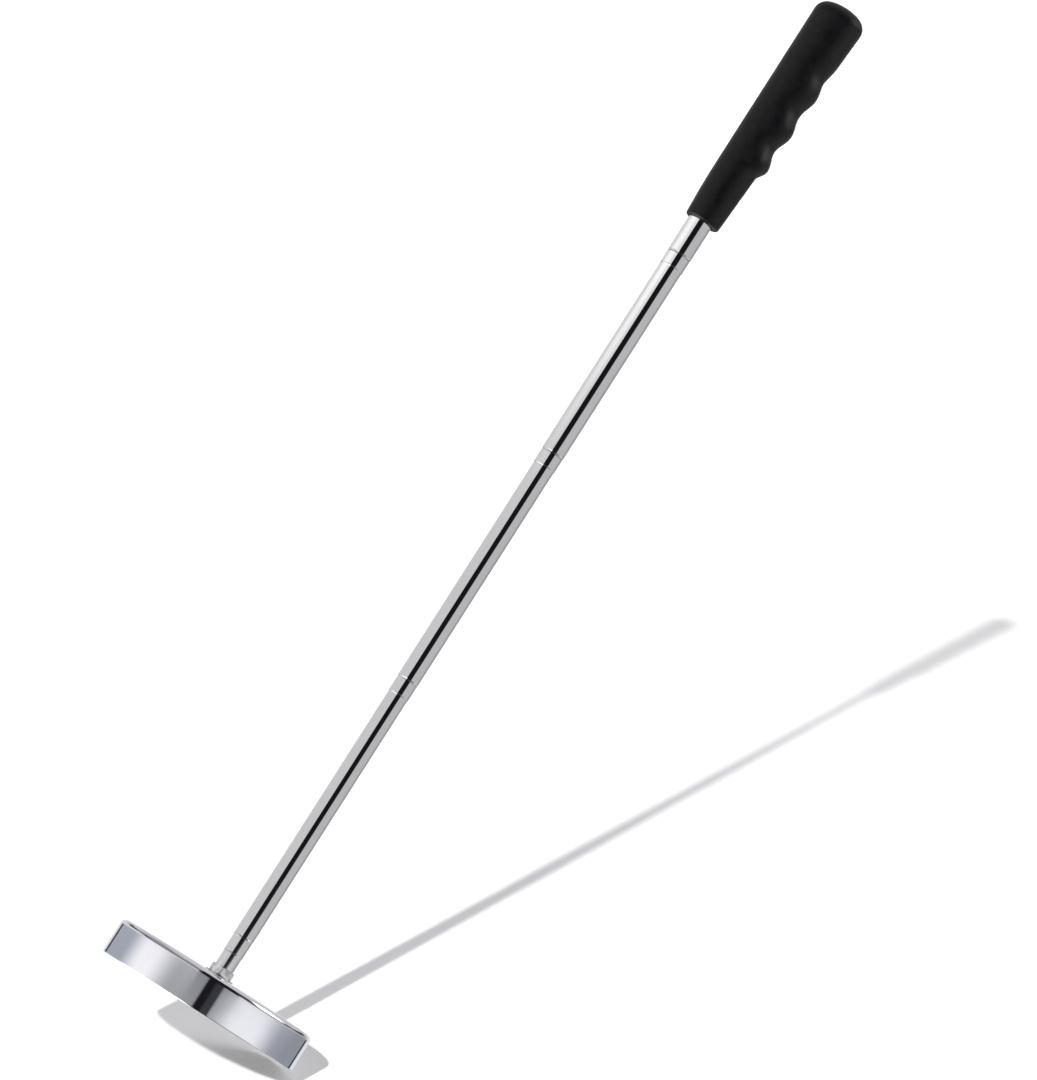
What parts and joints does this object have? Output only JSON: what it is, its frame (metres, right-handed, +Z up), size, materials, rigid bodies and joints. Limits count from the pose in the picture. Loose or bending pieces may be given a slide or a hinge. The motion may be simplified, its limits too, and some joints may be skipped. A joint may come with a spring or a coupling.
{
  "type": "telescoping magnetic nail sweeper",
  "caption": "Hand-held magnetic sweeper: a flat round magnet in a plated cup on a telescoping steel rod with a soft finger-ridged grip.",
  "frame": {"origin": "centre of the cup's rim, on the plane it stands on", "axes": "+Z up the rod's axis, +X towards the grip's finger ridges"},
  "size_m": [0.12, 0.12, 0.6549],
  "materials": {
    "plated_cup": "bright plated drawn steel, faint brushing",
    "ferrite": "ground ferrite, matte dark grey",
    "pole_steel": "machined steel",
    "resin": "cast black potting resin",
    "zinc_steel": "zinc-plated steel",
    "tube_steel": "polished stainless steel",
    "bush_brass": "turned brass",
    "clip_bronze": "rolled spring bronze",
    "foam_rubber": "matte black foam rubber with a fine skin",
    "plug_plastic": "moulded black plastic"
  },
  "bodies": {
    "head": {"magnet_cup": "plated_cup", "ring_magnet": "ferrite", "centre_pole": "pole_steel", "potting_resin": "resin", "stem_stud": "zinc_steel", "flat_washer": "zinc_steel", "jam_nut": "zinc_steel", "tube_1": "tube_steel", "stop_bush_1": "bush_brass"},
    "clip_1": {"friction_clip_1": "clip_bronze"},
    "section_2": {"tube_2": "tube_steel", "stop_bush_2": "bush_brass"},
    "clip_2": {"friction_clip_2": "clip_bronze"},
    "section_3": {"tube_3": "tube_steel", "stop_bush_3": "bush_brass"},
    "clip_3": {"friction_clip_3": "clip_bronze"},
    "section_4": {"tube_4": "tube_steel", "stop_bush_4": "bush_brass"},
    "clip_4": {"friction_clip_4": "clip_bronze"},
    "handle": {"tube_5": "tube_steel", "end_plug": "plug_plastic", "grip": "foam_rubber"}
  },
  "joints": [
    {"name": "section_2_swivel", "type": "hinge", "parent": "head", "child": "clip_1", "pos_m": [0, 0, 0.20735], "axis": [0, 0, 1], "continuous": true},
    {"name": "section_2_slide", "type": "slide", "parent": "clip_1", "child": "section_2", "axis": [0, 0, 1], "range_m": [0, 0.1576]},
    {"name": "section_3_swivel", "type": "hinge", "parent": "section_2", "child": "clip_2", "pos_m": [0, 0, 0.21425], "axis": [0, 0, 1], "continuous": true},
    {"name": "section_3_slide", "type": "slide", "parent": "clip_2", "child": "section_3", "axis": [0, 0, 1], "range_m": [-0.1507, 0]},
    {"name": "section_4_swivel", "type": "hinge", "parent": "section_3", "child": "clip_3", "pos_m": [0, 0, 0.37185], "axis": [0, 0, 1], "continuous": true},
    {"name": "section_4_slide", "type": "slide", "parent": "clip_3", "child": "section_4", "axis": [0, 0, 1], "range_m": [-0.1336, 0.0104]},
    {"name": "handle_swivel", "type": "hinge", "parent": "section_4", "child": "clip_4", "pos_m": [0, 0, 0.51235], "axis": [0, 0, 1], "continuous": true},
    {"name": "handle_slide", "type": "slide", "parent": "clip_4", "child": "handle", "axis": [0, 0, 1], "range_m": [-0.1162, 0.0205]}
  ]
}
